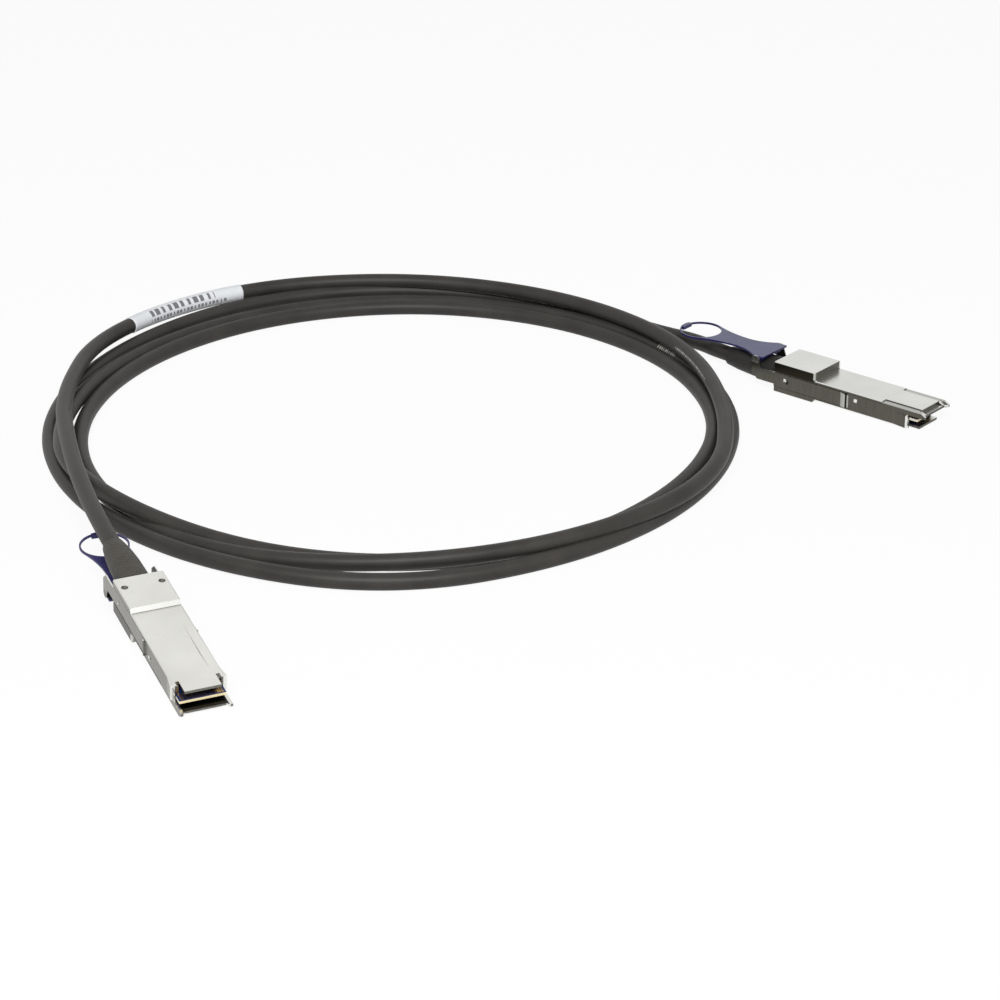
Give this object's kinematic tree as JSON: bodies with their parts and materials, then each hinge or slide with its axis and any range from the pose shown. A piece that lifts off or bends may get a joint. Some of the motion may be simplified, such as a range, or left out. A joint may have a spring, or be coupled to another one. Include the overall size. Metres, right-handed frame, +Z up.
{
  "type": "direct attach copper cable",
  "caption": "Coiled black copper network cable with a metal pluggable connector on each end, each with a blue pull tab and finger ring.",
  "frame": {"origin": "on the surface, at the middle of the plan of the two plugs' combined box; the coil lies to its left", "axes": "+Z up from the surface the cable lies on; +X to the right and +Y away from a viewer who has the coil on the left, one plug in front and one plug on the right"},
  "size_m": [0.3683, 0.3879, 0.021],
  "materials": {
    "nickel_shell": "satin nickel-plated die casting",
    "steel": "satin",
    "card": "solder mask",
    "gold": "gold flash",
    "black_plastic": "matte",
    "ceramic": "matte",
    "wire_insulation": "satin",
    "ferrule": "plain",
    "boot": "matte, fine cross-hatch",
    "tab": "satin navy",
    "jacket": "satin black",
    "label": "white film"
  },
  "bodies": {
    "cable": {"right_lower_shell": "nickel_shell", "right_upper_shell": "nickel_shell", "right_shell_rivets": "steel", "right_paddle_card": "card", "right_contacts": "gold", "right_memory_chip": "black_plastic", "right_capacitors": "ceramic", "right_wire_pairs": "wire_insulation", "right_inner_mould": "black_plastic", "right_crimp_ferrule": "ferrule", "right_cable_boot": "boot", "right_return_springs": "steel", "left_lower_shell": "nickel_shell", "left_upper_shell": "nickel_shell", "left_shell_rivets": "steel", "left_paddle_card": "card", "left_contacts": "gold", "left_memory_chip": "black_plastic", "left_capacitors": "ceramic", "left_wire_pairs": "wire_insulation", "left_inner_mould": "black_plastic", "left_crimp_ferrule": "ferrule", "left_cable_boot": "boot", "left_return_springs": "steel", "cable_lead_left": "jacket", "cable_lead_right": "jacket", "cable_coil": "jacket", "label_sleeve": "label"},
    "right_latch": {"right_latch_slider": "steel", "right_pull_tab": "tab"},
    "left_latch": {"left_latch_slider": "steel", "left_pull_tab": "tab"}
  },
  "joints": [
    {"name": "right_pull", "type": "slide", "parent": "cable", "child": "right_latch", "axis": [-0.7649, 0.6441, 0], "range_m": [0, 0.0023], "stiffness_N_per_m": 600, "springref_m": -0.002, "deforming": ["right_return_springs"]},
    {"name": "left_pull", "type": "slide", "parent": "cable", "child": "left_latch", "axis": [-0.4034, 0.906, 0.1279], "range_m": [0, 0.0023], "stiffness_N_per_m": 600, "springref_m": -0.002, "deforming": ["left_return_springs"]}
  ]
}
